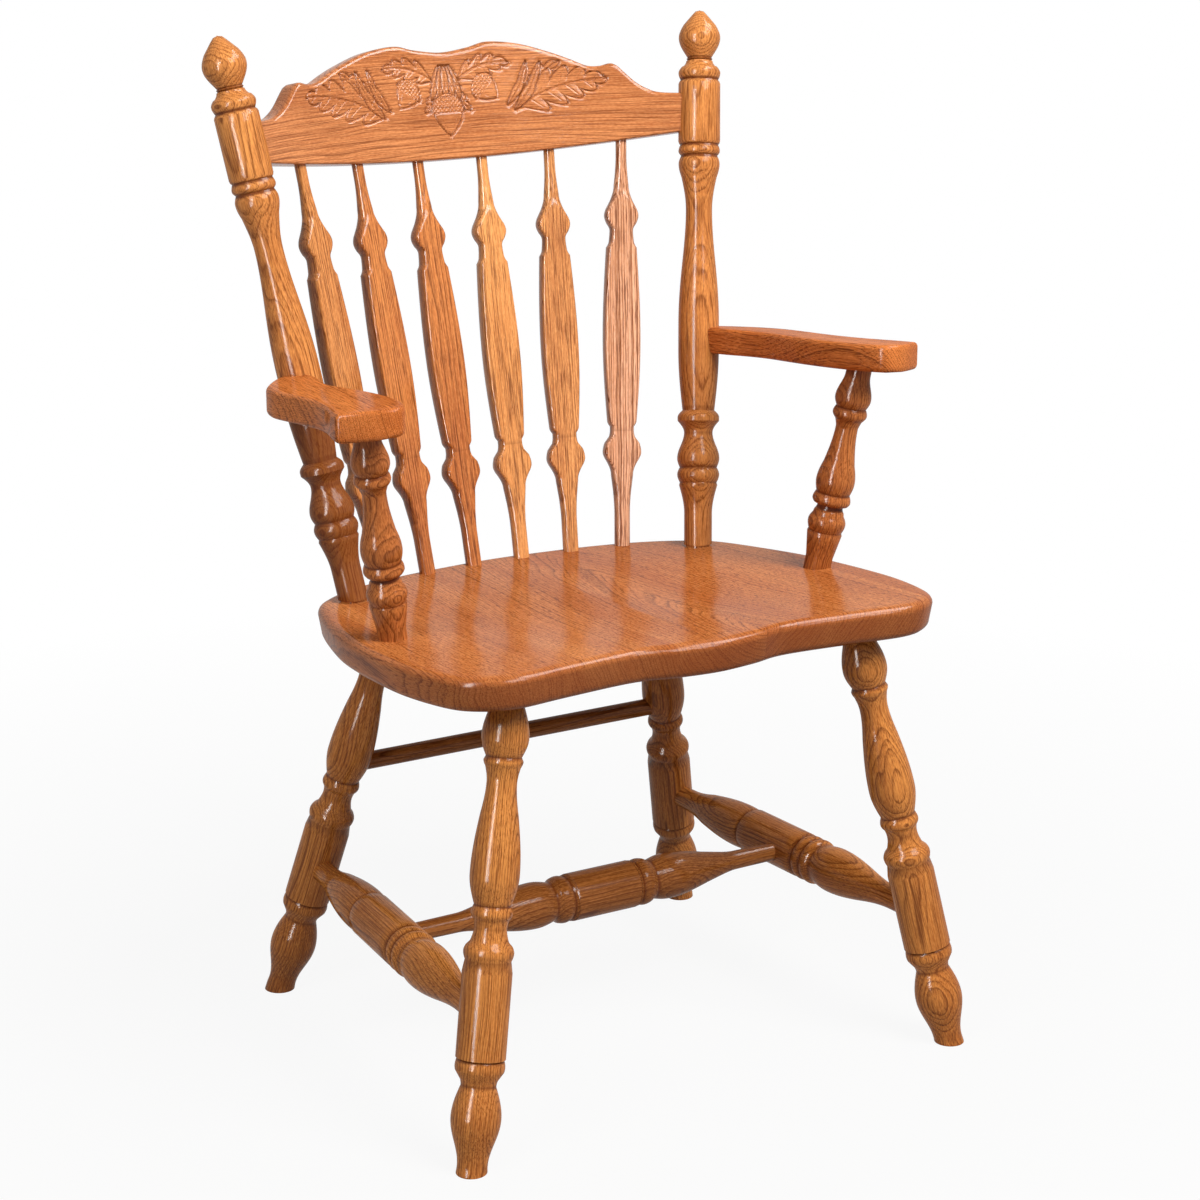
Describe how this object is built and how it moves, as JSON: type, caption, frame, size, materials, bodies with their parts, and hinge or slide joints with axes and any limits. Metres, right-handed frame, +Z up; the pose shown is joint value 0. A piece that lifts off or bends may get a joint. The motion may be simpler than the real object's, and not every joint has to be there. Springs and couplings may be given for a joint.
{
  "type": "spindle back armchair",
  "caption": "Oak dining armchair with turned legs and posts, arrow spindles under a scalloped crest rail, a dished seat and shaped arms.",
  "frame": {"origin": "on the floor below the middle of the chair's box", "axes": "+Z up, the chair faces -Y, +X to the right of someone who looks at the chair's front"},
  "size_m": [0.681, 0.6161, 1.05],
  "materials": {
    "oak_seat": "golden brown stained oak under satin lacquer",
    "oak_legs": "turned oak, golden brown stain, satin lacquer",
    "oak_stretchers": "turned oak, golden brown stain, satin lacquer",
    "oak_posts": "turned oak, golden brown stain, satin lacquer",
    "oak_crest": "carved oak, golden brown stain, satin lacquer",
    "oak_spindles": "turned and planed oak, golden stain, satin lacquer",
    "oak_arms": "shaped oak, golden brown stain, satin lacquer",
    "dowel_wood": "bare beech"
  },
  "bodies": {
    "root": {"seat": "oak_seat", "front_leg_left": "oak_legs", "front_leg_right": "oak_legs", "rear_leg_left": "oak_legs", "rear_leg_right": "oak_legs", "side_stretcher_left": "oak_stretchers", "side_stretcher_right": "oak_stretchers", "cross_stretcher": "oak_stretchers", "rear_stretcher": "oak_stretchers", "back_post_left": "oak_posts", "back_post_right": "oak_posts", "crest_rail": "oak_crest", "spindle_1": "oak_spindles", "spindle_2": "oak_spindles", "spindle_3": "oak_spindles", "spindle_4": "oak_spindles", "spindle_5": "oak_spindles", "spindle_6": "oak_spindles", "arm_left": "oak_arms", "arm_right": "oak_arms", "arm_post_left": "oak_legs", "arm_post_right": "oak_legs", "crest_dowels": "dowel_wood", "arm_dowels": "dowel_wood"}
  },
  "joints": []
}
